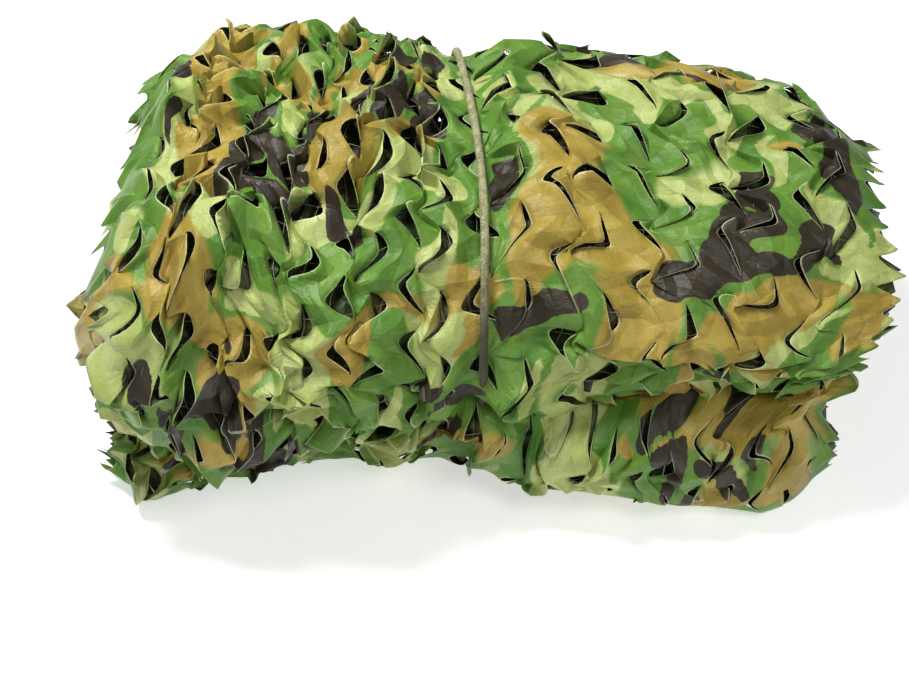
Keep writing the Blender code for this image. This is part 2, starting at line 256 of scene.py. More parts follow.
class Finish:
    """A material being put together round one Principled shader."""

    def __init__(self, name, roughness, sheen=0.0):
        self.material = bpy.data.materials.new(name)
        self.material.use_nodes = True
        self.tree = self.material.node_tree
        self.shader = self.tree.nodes["Principled BSDF"]
        self.shader.inputs["Roughness"].default_value = roughness
        self.shader.inputs["Sheen Weight"].default_value = sheen

    def node(self, kind, settings, values, out=0):
        """One node: its settings are set first, then the values or links of its sockets."""
        made = self.tree.nodes.new("ShaderNode" + kind)
        for key, value in settings.items():
            setattr(made, key, value)
        for key, value in values.items():
            self.feed(made.inputs[key], value)
        return Wire(self, made.outputs[out])

    def feed(self, socket, value):
        """Link a wire to the socket, or set the socket's own number, vector or colour."""
        if isinstance(value, Wire):
            self.tree.links.new(value.socket, socket)
        elif isinstance(value, tuple) and socket.type == "RGBA":
            socket.default_value = (*value, 1.0)
        else:
            socket.default_value = value

    def mix(self, share, low, high):
        """Colour that goes from low to high."""
        return self.node("Mix", {"data_type": "RGBA"}, {0: share, 6: low, 7: high}, out=2)

    def step(self, value, low, high):
        """Soft step from 0 at low to 1 at high."""
        settings = {"interpolation_type": "SMOOTHSTEP"}
        return self.node("MapRange", settings, {0: value, 1: low, 2: high, 3: 0.0, 4: 1.0})

    def flat_noise(self, place, across, along, detail):
        """Cloudy number of 0 to 1 on cloth coordinates, with so many clouds in a metre across and along."""
        scaled = self.node("VectorMath", {"operation": "MULTIPLY"}, {0: place, 1: (across, along, 1.0)})
        return self.noise(scaled, 1.0, detail)

    def noise(self, place, scale, detail):
        """Cloudy number of 0 to 1."""
        settings = {"noise_dimensions": "3D"}
        values = {"Vector": place, "Scale": scale, "Detail": detail, "Roughness": 0.5}
        return self.node("TexNoise", settings, values)

    def number(self, name):
        """The mesh's own number of that name."""
        return self.node("Attribute", {"attribute_name": name}, {}, out=2)

    def surface(self, **sockets):
        """Feed the shader's sockets, an underscore standing for a space, and give the material."""
        for name, value in sockets.items():
            self.feed(self.shader.inputs[name.replace("_", " ")], value)
        return self.material


def cord_finish():
    """Khaki strands with dark flecks, with painted shade in the grooves between the strands and over the
    cord's lower part.
    """
    finish = Finish("tie_cord", 0.8, sheen=0.05)
    place = finish.node("UVMap", {"uv_map": "flat"}, {})
    ridge = finish.number("ridge")
    fleck = finish.flat_noise(place, 900.0, 900.0, 1.0)
    patch = finish.flat_noise(place, 120.0, 60.0, 2.0)
    pale = finish.mix(finish.step(patch, 0.35, 0.65), *KHAKI)
    dark = finish.mix(finish.step(patch, 0.40, 0.60), *DARK_FLECKS)
    colour = finish.mix(finish.step(fleck, 0.52, 0.64), pale, dark)
    # Painted shade: the grooves between the strands are darkened
    colour = finish.mix(finish.step(ridge, 0.0, 0.6), STRAND_GROOVE_SHADE, colour)
    # Painted shade darkens the cord's lower part
    colour = finish.mix(finish.number("painted_shade") * CORD_SHADE_COVER, colour, CORD_SHADE)
    fibre = finish.flat_noise(place, 3000.0, 3000.0, 1.0)
    bump = finish.node("Bump", {}, {"Strength": 0.5, "Distance": 0.0003, "Height": fibre})
    return finish.surface(Base_Color=colour, Normal=bump)


tie = mesh_piece("tie_braided_cord", *braided_cord(CORD_ROUTE, CORD_RINGS, CORD_SIDES))
tie.data.materials.append(cord_finish())
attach(tie, "root")
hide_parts("tie_cord")

# ------------------------------------------------------------------ net, its folds
# One long strip of printed polyester cloth on a fine backing net. It is laid in
# thirds, one inside another, and the three plies are folded in thirds again.

SHEET = 0.0045            # thickness of a layer, which is three plies of the real net
HALF_LENGTH = 0.237       # half the strip's width, which runs along the bundle
PLY_PITCH = 0.0248        # height between the layers of one fold
STACK_PITCH = 0.0180      # height between a fold's top layer and the next fold's lowest
HALF_DEPTH = 0.160        # half the depth of the neat fold
LAYER_STEPS = (PLY_PITCH, PLY_PITCH, STACK_PITCH) * 2 + (PLY_PITCH, PLY_PITCH)
LAYER_Z = SHEET / 2 + np.concatenate(([0.0], np.cumsum(LAYER_STEPS)))
FULL_HEIGHT = LAYER_Z[-1] + SHEET / 2
CREASE_Z = (LAYER_Z[2] + LAYER_Z[3]) / 2
FRONT_TURN = -HALF_DEPTH + (LAYER_Z[8] - LAYER_Z[3]) / 2 + SHEET / 2
LOW_TURN = -HALF_DEPTH + (LAYER_Z[2] - LAYER_Z[0]) / 2 + SHEET / 2
BACK_TURN = HALF_DEPTH - (LAYER_Z[5] - LAYER_Z[0]) / 2 - SHEET / 2
TOP_BACK_TURN = HALF_DEPTH - 2 * PLY_PITCH - SHEET / 2
# Layers in the order the cloth runs through them, and the depth where each ends
FOLDS = (
    (8, FRONT_TURN), (3, BACK_TURN), (2, LOW_TURN), (0, BACK_TURN), (5, FRONT_TURN),
    (6, TOP_BACK_TURN), (7, FRONT_TURN), (4, BACK_TURN), (1, LOW_TURN),
)
RUN_STEP = 0.001
LEAD_IN_POINTS = 60
HALF_TURN_POINTS = 80

# columns: x, height, back, upper front, lower front, height of the crease between
OUTLINE = np.array((
    (-0.240, 0.176, 0.136, -0.158, -0.136, 0.050),
    (-0.205, 0.198, 0.150, -0.174, -0.144, 0.052),
    (-0.140, 0.205, 0.151, -0.180, -0.130, 0.050),
    (-0.070, 0.200, 0.150, -0.168, -0.124, 0.052),
    (0.000, 0.194, 0.144, -0.150, -0.130, 0.060),
    (0.045, 0.188, 0.147, -0.142, -0.154, 0.068),
    (0.090, 0.180, 0.147, -0.137, -0.160, 0.076),
    (0.140, 0.172, 0.145, -0.135, -0.162, 0.084),
    (0.200, 0.160, 0.135, -0.138, -0.154, 0.084),
    (0.240, 0.140, 0.110, -0.128, -0.128, 0.072),
))
LEFT_TAPER = 0.20         # the left half is shorter towards its top and back, by this share
TAPER_FROM = -0.165
TAPER_TO = 0.135
TAPER_STEEP = 1.3
LOW_SHORT_LEFT = 0.07     # the lower fold is shorter in front, by these shares
LOW_SHORT_RIGHT = 0.15
ROUNDING = 0.26           # share of the height that the top's front and back edges lose
ROUNDING_POWER = 2.6
ROUNDING_REACH = 1.1      # depth, of half the neat fold's, past which the top falls no more
BED = 0.008               # half width of the cord's bed
WAIST_REACH = 0.027
WAIST_TOP = 0.035         # shares by which the cord draws in the top and both sides
WAIST_SIDE = 0.080
WAIST_LIFT = 0.0095       # and how far it lifts the underside
TIE_LEAN = -0.022         # the cord leans to the left at the back, from and to these depths
LEAN_FROM = -0.109
LEAN_TO = 0.151
LOW_LEAN = -0.013         # and below this height in front
LOW_LEAN_TOP = 0.08
LEAN_SPREAD = 0.55        # the cloth leans with the cord over a wider stretch than its bed
CALM_HEIGHT = 0.05        # below this height the lumps fade out
# columns: height, radians in a metre along, deep and high, start
LUMPS = (
    (0.0050, 27.0, 21.0, 9.0, 0.7),
    (0.0034, -41.0, 33.0, 14.0, 2.1),
    (0.0028, 58.0, 12.0, -20.0, 4.0),
)
CENTRE = (0.000105, -0.012458, 0.0)    # middle of the folds, which is put over the origin


def soft_step(value):
    """Rise from 0 to 1 with level ends."""
    value = np.clip(value, 0.0, 1.0)
    return value * value * (3.0 - 2.0 * value)


def bell(x):
    """1 on the cord's bed, falling to 0 away from it."""
    return np.exp(-(np.maximum(np.abs(x) - BED, 0.0) / WAIST_REACH) ** 2)


def tie_x(y, z):
    """X of the cord: straight down the front, leaning at the back and below."""
    far = soft_step((y - LEAN_FROM) / (LEAN_TO - LEAN_FROM))
    near_floor = 1.0 - soft_step(z / LOW_LEAN_TOP)
    return TIE_LEAN * far + LOW_LEAN * (1.0 - far) * near_floor


def lie(x, y, z):
    """Carry points of the neat fold to where they lie in the bundle.

    Depth and height are scaled to the outline at x, the top is rounded down to
    front and back, the cord's pull narrows the waist, and three waves lump it.
    """
    height, back, front, lower, crease = [
        np.interp(x, OUTLINE[:, 0], OUTLINE[:, k]) for k in range(1, 6)]
    pull = bell(x)
    share = z / FULL_HEIGHT
    reach = np.abs(y) / HALF_DEPTH
    is_low = 1.0 - soft_step((z - CREASE_Z) / STACK_PITCH + 0.5)
    near = front + (lower - front) * is_low
    new_y = np.where(y < 0.0, -near, back) * y / HALF_DEPTH
    new_y = new_y * (1.0 - WAIST_SIDE * pull)
    below = crease * z / CREASE_Z
    above = crease + (height - crease) * (z - CREASE_Z) / (FULL_HEIGHT - CREASE_Z)
    settled = np.where(z < CREASE_Z, below, np.minimum(above, height))
    settled = settled + np.maximum(z - FULL_HEIGHT, 0.0)
    rounded = 1.0 - ROUNDING * np.minimum(reach, ROUNDING_REACH) ** ROUNDING_POWER * share
    new_z = settled * rounded * (1.0 - WAIST_TOP * pull * share)
    new_z = new_z + WAIST_LIFT * pull * (1.0 - share)
    short = np.where(x < 0.0, LOW_SHORT_LEFT, LOW_SHORT_RIGHT)
    short = short * is_low * soft_step(0.5 - y / HALF_DEPTH)
    taper = np.where(x < 0.0, LEFT_TAPER, 0.0) * soft_step(TAPER_STEEP * share)
    taper = taper * soft_step((y - TAPER_FROM) / (TAPER_TO - TAPER_FROM))
    new_x = x * (1.0 - short) * (1.0 - taper) + tie_x(new_y, new_z) * bell(x * LEAN_SPREAD)
    calm = soft_step(z / CALM_HEIGHT) * (1.0 - pull)
    for size, along, deep, high, start in LUMPS:
        wave = np.sin(along * x + deep * y + high * z + start)
        new_z = new_z + size * wave * calm
        new_y = new_y + size * np.cos(along * x - high * z + start) * calm
    return np.stack((new_x - CENTRE[0], new_y - CENTRE[1], new_z - CENTRE[2]), axis=-1)


def fold_line():
    """The neat fold's centre line at even steps of its run, its normals, and the runs of its turns' ends.

    Straight runs along Y are joined by half circles, and a quarter circle leads in at the back.
    """
    radius = 2 * PLY_PITCH
    angle = np.linspace(0.0, np.pi / 2, LEAD_IN_POINTS)
    lead_z = LAYER_Z[8] - radius + radius * np.sin(angle)
    parts = [np.column_stack((TOP_BACK_TURN + radius * np.cos(angle), lead_z))]
    start = TOP_BACK_TURN
    turns = []
    for place, (layer, end) in enumerate(FOLDS):
        parts.append(np.array([[start, LAYER_Z[layer]], [end, LAYER_Z[layer]]]))
        turns.append(sum(map(len, parts)) - 1)
        if place < len(FOLDS) - 1:
            below = LAYER_Z[FOLDS[place + 1][0]]
            radius = (LAYER_Z[layer] - below) / 2
            angle = np.linspace(0.0, np.pi, HALF_TURN_POINTS)
            depth = end + np.sign(end - start) * abs(radius) * np.sin(angle)
            height = (LAYER_Z[layer] + below) / 2 + radius * np.cos(angle)
            parts.append(np.column_stack((depth, height)))
            turns.append(sum(map(len, parts)) - 1)
        start = end
    line = np.vstack(parts)
    run = np.concatenate(([0.0], np.cumsum(np.linalg.norm(np.diff(line, axis=0), axis=1))))
    every = np.arange(0.0, run[-1], RUN_STEP)
    even = np.column_stack([np.interp(every, run, line[:, k]) for k in (0, 1)])
    ahead = np.gradient(even, axis=0)
    ahead = ahead / np.linalg.norm(ahead, axis=1)[:, None]
    return every, even, np.column_stack((ahead[:, 1], -ahead[:, 0])), run[turns]


RUN, LINE, OUTWARD, TURN_RUNS = fold_line()


def in_bundle(p, q, off):
    """Points of the bundle that are p along the strip's width, q along its run and off outwards."""
    depth, height, out_y, out_z = [
        np.interp(q, RUN, values) for values in (LINE[:, 0], LINE[:, 1], OUTWARD[:, 0], OUTWARD[:, 1])]
    return lie(p, depth + off * out_y, height + off * out_z)


# ------------------------------------------------------------------ net, its leaves
# The cloth is cut with rows of bent slits, so that it opens into leaves. Each
# slit frees a blunt tongue, which folds along the line between the slit's ends.

LEAF_RUN = 0.047          # run of one open leaf
ROW = 24                  # rows of the mesh in it
# Both slits of a leaf: start, knee and end across it, in fiftieths of its width
SLIT_PLACES = ((15.0, 0.0, 20.0), (35.0, 41.0, 13.0))
FIFTIETH = 0.02
# columns: rows in a leaf, its width, rows of start, knee and end of its two slits
OPEN_LEAF = (24, 0.047, ((-5, 0, 13), (5, 15, 23)))
GATHERED_LEAF = (16, 0.038, ((-3, 0, 9), (3, 10, 15)))
CLOSE_LEAF = (14, 0.037, ((-3, 0, 8), (3, 9, 13)))
SLIT_UNEVEN = 0.055       # how far the slits' points stray, of the leaf's width
KNEE_ROUNDING = (-1.6, -0.8, 0.0, 0.8, 1.6)    # rows over which a knee is rounded
HINGE_TAPER = 6.0         # a tongue has its full depth from a sixth of the way to the knee
EDGE_ROOM = 0.014         # cloth between the last slit line and the free edge
LINE_ROOM = 0.006         # cloth kept for each line that lies between a line and the edge
HINGE_LEAST = 0.0015
HINGE_MOST = 0.80         # one hinge's and both hinges' greatest share of a leaf's width
HINGES_MOST = 0.85
CRUMPLE_ROWS = (0, 5, 13, 19)
LINE_CRUMPLE = 0.0034     # spread of the crumple's height, along slit lines and between them
STRIP_CRUMPLE = 0.0036
CREASE_ANGLE = 9.0        # degrees; sharper bends are pressed creases

# Ranges of how far tongues, and the cloth beside them, fold (radians), pull back and sway
TONGUE_UP = (0.20, 0.95)
TONGUE_OVER = (1.1, 2.1)
TONGUE_UNDER = (-0.8, -0.3)
OVER_SHARE = 0.12         # share of the tongues that fold right over
UNDER_SHARE = 0.16        # and that tuck under
TONGUE_BACK = (0.0018, 0.0052)
TONGUE_SWAY = (-0.006, 0.006)
BESIDE_FOLD = (-0.55, 0.30)
BESIDE_BACK = (0.0, 0.0025)
BESIDE_SWAY = (-0.003, 0.003)
EDGE_FOLD = (-0.5, 0.9)
EDGE_FOLD_ROWS = 6
AT_HINGE = 0.8            # share of a flap's fold that is at its hinge, the rest being curl

# Free edge, in rows and metres: rows from tip to notch and how far they stray, notch and tip
SAW_ROWS = 5
SAW_UNEVEN = 1.8
NOTCH = (-0.011, -0.001)
TIP = (0.000, 0.010)

MILLIMETRE = 0.001
# How the loose outer ply lies away from the folds, in millimetres
# columns: run (metres), left end outwards, right end outwards
END_SHIFTS = np.array((
    (0.000, 8, 4), (0.030, 12, 6), (0.060, 18, 9), (0.090, 18, 9), (0.120, 17, 8), (0.150, 10, 4),
    (0.180, 1, 2), (0.210, -9, 1), (0.240, -13, 3), (0.270, -15, 6), (0.300, -18, 1), (0.330, -19, -7),
    (0.360, -14, -16), (0.390, -19, -21), (0.420, -17, -21), (0.480, -6, -18), (0.880, 0, -16),
    (0.910, 1, -10), (0.935, 2, 8), (0.960, 4, 17), (1.000, 4, 15), (1.050, 2, 8), (1.100, 0, 0),
))
TOP_IN = (0.03, 0.05)     # run where the top begins, and the run in which its rises grow to the full
TOP_OUT = (0.26, 0.10)    # and where it ends, and the run in which they fade
# columns: distance along the width (metres), rise of the top
TOP_SHIFTS = np.array((
    (-0.240, 6), (-0.190, 0), (-0.140, -11), (-0.110, -8), (-0.085, 1), (-0.060, 6), (-0.030, 10),
    (-0.008, 1), (0.008, 1), (0.030, 13), (0.070, 5), (0.110, 1), (0.150, 3), (0.200, 5), (0.240, 8),
))
# Further swells and hollows: middle along the width and the run, half size each way, height
SWELLS = (
    (-0.225, 0.110, 0.045, 0.050, 0.008), (-0.200, 0.190, 0.040, 0.040, 0.005),
    (0.205, 0.150, 0.050, 0.040, 0.006), (0.215, 0.375, 0.045, 0.028, -0.008),
    (0.210, 0.975, 0.040, 0.035, 0.010), (0.065, 1.000, 0.060, 0.045, -0.010),
    (-0.210, 0.985, 0.035, 0.035, 0.007), (0.010, 0.928, 0.048, 0.036, 0.042),
    (0.032, 0.422, 0.022, 0.026, 0.012), (-0.004, 0.972, 0.030, 0.022, 0.007),
    (0.014, 0.398, 0.020, 0.018, 0.015), (0.000, 0.955, 0.024, 0.020, 0.010),
    (0.002, 0.906, 0.020, 0.016, 0.012), (-0.090, 0.985, 0.080, 0.040, -0.007),
    (0.019, 0.370, 0.011, 0.050, 0.011), (-0.021, 0.370, 0.011, 0.050, 0.007),
    (0.016, 0.240, 0.009, 0.070, 0.004), (-0.016, 0.240, 0.009, 0.070, 0.004),
)
# Runs where the upper and the lower fold meet in front, and the bulge of the cloth there
CREASE_RUNS = (TURN_RUNS[1] - 0.028, TURN_RUNS[4] - 0.014)
CREASE_RISE = 0.015
CREASE_HALF = 0.028
LOOSE_FROM = 0.80         # from this run on, the leaves lie over the cord
CORD_HALF = 0.0035        # half width of the stretch that the cord presses flat
CORD_EASE = 0.008
ROUGH_LEFT = 1.25         # how rough the leaves lie on both sides of the cord
ROUGH_RIGHT = 0.75
ROUGH_FROM = -0.03        # from here along the width the one goes over into the other
ROUGH_OVER = 0.07
HILL = 0.0028             # heights of the ply's round and sharp hills
SHARP_HILL = 0.0008
HILL_SHARE = 0.8
END_DROP = 0.016          # the loose ply sinks this much at its two ends, from this far inside them
DROP_FROM = 0.030
DROP_OVER = 0.045
END_FROM = 0.10           # distance along the width from which END_SHIFTS begin to act
END_OVER = 0.13           # and over which they grow to the full
FLOOR_GAP = 0.0006
LIFT_REACH = 0.02         # leaves that stand out this far must clear the floor
PRESSED_BELOW = -0.012    # those that wouldn't by this much don't lift, and those higher up do
LIFT_FADE = 0.03
# How strongly flaps fold, pull back and crumple: where it is calm, and more for each 1 of roughness
FOLD_GAIN = (0.08, 0.56)
BACK_GAIN = (0.10, 0.60)
CRUMPLE_GAIN = (0.35, 0.72)
DRIFT_WAVE = 7.0          # radians in a metre of run, in which the slit lines drift to and fro
ROW_SWAY = 0.010          # how far whole rows of leaves sway along the run
SWAY_FADE = 0.03          # and the length before a ply's end in which that fades out
COLUMN_SHARE = 90         # percentile of a strip's width that its columns are made for

# Where a slit line is, how deep its tongues are, how near each row is to a knee (1) or a slit's
# end (0), its leaf's rows, its slits' rows, and whether it is the right one of its leaf
CutLine = namedtuple("CutLine", "p depth share pitch marks at_right")


def waves(p, q, seed, longest, shortest, count, zigzag=False):
    """Uneven field: the sum of cosine waves, or zigzags, of different lengths, ways and starts."""
    rng = np.random.default_rng(seed)
    way = rng.uniform(0.0, 2 * np.pi, count)
    size = 2 * np.pi / rng.uniform(shortest, longest, count)
    start = rng.uniform(0.0, 2 * np.pi, count)
    phase = np.multiply.outer(p, size * np.cos(way)) + np.multiply.outer(q, size * np.sin(way)) + start
    if zigzag:
        return np.arcsin(np.cos(phase)).sum(axis=-1) * 2.0 / math.pi * math.sqrt(3.0 / count)
    return np.cos(phase).sum(axis=-1) * math.sqrt(2.0 / count)


def roughness_at(p):
    """Leaves lie rougher on the left of the cord than on its right, with a soft step between."""
    return ROUGH_LEFT - (ROUGH_LEFT - ROUGH_RIGHT) * soft_step((p - ROUGH_FROM) / ROUGH_OVER)


def freedom(p, q):
    """How freely leaves may lift: not under the cord nor near the floor, else fully."""
    low = np.interp(q, RUN, LINE[:, 1] + LIFT_REACH * OUTWARD[:, 1])
    pressed = np.exp(-(np.maximum(np.abs(p) - CORD_HALF, 0.0) / CORD_EASE) ** 2) * (q < LOOSE_FROM)
    return (1.0 - pressed) * soft_step((low - PRESSED_BELOW) / LIFT_FADE)


def outer_rise(p, q):
    """Rise of the loose ply off the folds, before its leaves lift.

    It is the sum of the top's rises, the crease's bulges, the swells and uneven hills.
    """
    on_top = soft_step((q - TOP_IN[0]) / TOP_IN[1]) * soft_step((TOP_OUT[0] - q) / TOP_OUT[1])
    rise = MILLIMETRE * np.interp(p, TOP_SHIFTS[:, 0], TOP_SHIFTS[:, 1]) * on_top
    away = soft_step((np.abs(p) - 0.010) / 0.03)
    for run in CREASE_RUNS:
        rise = rise + CREASE_RISE * np.exp(-((q - run) / CREASE_HALF) ** 2) * away
    for middle_p, middle_q, half_p, half_q, height in SWELLS:
        rise = rise + height * np.exp(-((p - middle_p) / half_p) ** 2 - ((q - middle_q) / half_q) ** 2)
    hills = HILL * waves(p, q, 41, 0.10, 0.05, 14) + SHARP_HILL * waves(p, q, 43, 0.060, 0.028, 9, True)
    rise = rise + freedom(p, q) * HILL_SHARE * roughness_at(p) * hills
    return rise - END_DROP * soft_step((np.abs(p) - HALF_LENGTH + DROP_FROM) / DROP_OVER)


def on_bundle(p, q, off):
    """Points of the loose ply, whose two ends reach further out or less far than the folds."""
    left = np.interp(q, END_SHIFTS[:, 0], END_SHIFTS[:, 1]) * soft_step((-p - END_FROM) / END_OVER)
    right = np.interp(q, END_SHIFTS[:, 0], END_SHIFTS[:, 2]) * soft_step((p - END_FROM) / END_OVER)
    points = in_bundle(p + MILLIMETRE * (right - left), q, off)
    points[..., 2] = np.maximum(points[..., 2], FLOOR_GAP)
    return points


def ragged(rng, rows):
    """Free edge of the strip: an uneven saw of leaf tips and notches."""
    places = np.arange(rows[0] - 8, rows[-1] + 16, SAW_ROWS)
    places = places + rng.uniform(-SAW_UNEVEN, SAW_UNEVEN, len(places))
    jag = rng.uniform(*NOTCH, len(places))
    jag[::2] = rng.uniform(*TIP, len(places[::2]))
    return np.interp(rows, places, jag)


def knots(rows, pitch, marks):
    """Row numbers of the marks in every leaf, with one leaf more at both ends."""
    cells = np.arange(-1, rows[-1] // pitch + 2)
    return (pitch * cells[:, None] + np.array(marks)).ravel()


def slit_line(rng, rows, shift, leaf, kind, at_right):
    """One slit line down all rows: straight arms with round knees.

    A tongue is as deep as the line's way from its hinge, which runs from slit end
    to slit end. The share is 1 at a knee and 0 where the line isn't cut.
    """
    pitch, wide, both = kind
    marks = both[at_right]
    places = knots(rows, pitch, marks)
    across = np.tile(SLIT_PLACES[at_right], len(places) // 3) * FIFTIETH * wide
    across = across + SLIT_UNEVEN * wide * rng.uniform(-1.0, 1.0, len(places))
    line = sum(np.interp(rows + over, places, across) for over in KNEE_ROUNDING) / len(KNEE_ROUNDING)
    ends = np.arange(len(places)) % 3 != 1
    hinge = np.interp(rows, places[ends], across[ends])
    share = np.interp(rows, places, np.tile((0.0, 1.0, 0.0), len(places) // 3))
    depth = np.abs(line - hinge) * np.minimum(HINGE_TAPER * share, 1.0)
    return CutLine(wide * leaf + line + shift, depth, share, pitch, marks, at_right)


def cut_lines(rng, rows, shift, leaves):
    """The slit lines in order across the strip, kept a little apart, between its two ragged edges."""
    lines = []
    for leaf in range(-8, 8):
        for at_right in (0, 1):
            line = slit_line(rng, rows, shift, leaf, leaves[leaf >= 0], at_right)
            if abs(line.p.mean()) < HALF_LENGTH - EDGE_ROOM:
                lines.append(line)
    for place, line in enumerate(lines):
        first = EDGE_ROOM - HALF_LENGTH + LINE_ROOM * place
        last = first + 2 * (HALF_LENGTH - EDGE_ROOM) - LINE_ROOM * (len(lines) - 1)
        np.clip(line.p, first, last, out=line.p)
    edge = (0.0 * rows, np.ones(len(rows)), None, None, None)
    left = CutLine(-HALF_LENGTH - ragged(rng, rows), *edge)
    right = CutLine(HALF_LENGTH + ragged(rng, rows), *edge)
    return [left, *lines, right]


def held(rows, line, values):
    """A number for each slit of the line, the same along the whole of it."""
    places = knots(rows, line.pitch, line.marks)
    return np.interp(rows, places, np.repeat(values[:len(places) // 3], 3))


def tongue_angles(rng, count):
    """Most tongues fold up, some fold right over, and a few tuck under."""
    angle = rng.uniform(*TONGUE_UP, count)
    folded = rng.uniform(0.0, 1.0, count)
    angle = np.where(folded < OVER_SHARE, rng.uniform(*TONGUE_OVER, count), angle)
    return np.where(folded > 1.0 - UNDER_SHARE, rng.uniform(*TONGUE_UNDER, count), angle)


def crumple(rng, rows, size):
    """Uneven height along one line of the net, straight between the rows where slits begin, bend and end."""
    places = knots(rows, ROW, CRUMPLE_ROWS)
    return np.interp(rows, places, rng.normal(0.0, size, len(places)))


def flap_folds(rng, rows, line, is_tongue, count):
    """How far each flap along a line folds, pulls back and sways.

    All of it falls to 0 at the slits' ends, but for the fold of a tongue or of the free edge.
    """
    if line.marks is None:
        places = np.arange(rows[0] - 8, rows[-1] + 9, EDGE_FOLD_ROWS)
        return np.interp(rows, places, rng.uniform(*EDGE_FOLD, len(places))), 0.0 * rows, 0.0 * rows
    opened = 1.0 - (1.0 - line.share) ** 3
    if is_tongue:
        angle = held(rows, line, tongue_angles(rng, count))
        ranges = (TONGUE_BACK, TONGUE_SWAY)
    else:
        angle = held(rows, line, rng.uniform(*BESIDE_FOLD, count)) * opened
        ranges = (BESIDE_BACK, BESIDE_SWAY)
    back, sway = [held(rows, line, rng.uniform(*bounds, count)) * opened for bounds in ranges]
    return angle, back, sway


def folded_flap(inside, reach, angle):
    """Pull-back and lift of a flap that folds by part of the angle at its hinge and curls by the rest."""
    bend = (1.0 - AT_HINGE) * angle / np.maximum(reach, 1e-4)
    bend = np.where(np.abs(bend) < 1e-3, 1e-3, bend)
    first = AT_HINGE * angle
    last = first + bend * inside
    return inside - (np.sin(last) - np.sin(first)) / bend, (np.cos(first) - np.cos(last)) / bend


def gain(pair, rough):
    """Straight line over roughness: the first number at none, and the second more for each 1."""
    return pair[0] + pair[1] * rough


def is_leaf(sides):
    """Whether a strip lies between the two slit lines of one leaf, whose tongues it then holds."""
    return sides[0].at_right == 0 and sides[1].at_right == 1


def strip_grid(rng, rows, sides, heights, column):
    """Grid of the strip between two lines: its places along the width, its heights and its two hinges.

    Guides run down both lines and the hinges of their flaps. Columns lie evenly
    between guides, about one column's width apart, with heights in proportion.
    """
    left, right = sides[0].p, sides[1].p
    wide = right - left
    if is_leaf(sides):
        hinges = [np.clip(side.depth, HINGE_LEAST, HINGE_MOST * wide) for side in sides]
        squeeze = np.minimum(1.0, HINGES_MOST * wide / (hinges[0] + hinges[1]))
        hinges = [squeeze * hinge for hinge in hinges]
        guides = [left, left + hinges[0], right - hinges[1], right]
    else:
        hinges = [0.5 * wide, 0.5 * wide]
        guides = [left, left + hinges[0], right]
    levels = [heights[0], *[crumple(rng, rows, STRIP_CRUMPLE) for _ in guides[2:]], heights[1]]
    p, height = [], []
    for k in range(len(guides) - 1):
        span = np.percentile(guides[k + 1] - guides[k], COLUMN_SHARE)
        steps = max(int(round(span / column)), 1)
        share = np.arange(steps + (k == len(guides) - 2))[None, :] / steps
        p.append(guides[k][:, None] + (guides[k + 1] - guides[k])[:, None] * share)
        height.append(levels[k][:, None] + (levels[k + 1] - levels[k])[:, None] * share)
    return np.hstack(p), np.hstack(height), hinges


def folded_strip(rng, rows, q, sides, grid, gape, count):
    """Places and heights of the strip once the flaps at both sides have folded, pulled back and swayed."""
    p, height, hinges = grid
    rough = roughness_at(p)
    height = height * gain(CRUMPLE_GAIN, rough)
    bent_p = p
    bent_q = np.broadcast_to(q[:, None], p.shape)
    for line, hinge, inward in zip(sides, hinges, (1.0, -1.0)):
        angle, back, sway = flap_folds(rng, rows, line, is_leaf(sides), count)
        inside = np.maximum(hinge[:, None] - inward * (p - line.p[:, None]), 0.0)
        near = inside / hinge[:, None]
        fold = gape * angle[:, None] * gain(FOLD_GAIN, rough)
        pulled, lifted = folded_flap(inside, hinge[:, None], fold)
        pulled = pulled + gape * back[:, None] * near * gain(BACK_GAIN, rough)
        bent_p = bent_p + inward * pulled
        height = height + lifted
        bent_q = bent_q + sway[:, None] * near * rough
    return np.stack((bent_p, bent_q, height), axis=-1)


def cut_quads(flat, quads):
    """Triangles from quads, each cut along its shorter diagonal."""
    across = [np.linalg.norm(flat[quads[:, k]] - flat[quads[:, k + 2]], axis=1) for k in (0, 1)]
    first = quads[across[0] <= across[1]]
    other = quads[across[0] > across[1]]
    return np.vstack((first[:, (0, 1, 2)], first[:, (0, 2, 3)], other[:, (0, 1, 3)], other[:, (1, 2, 3)]))


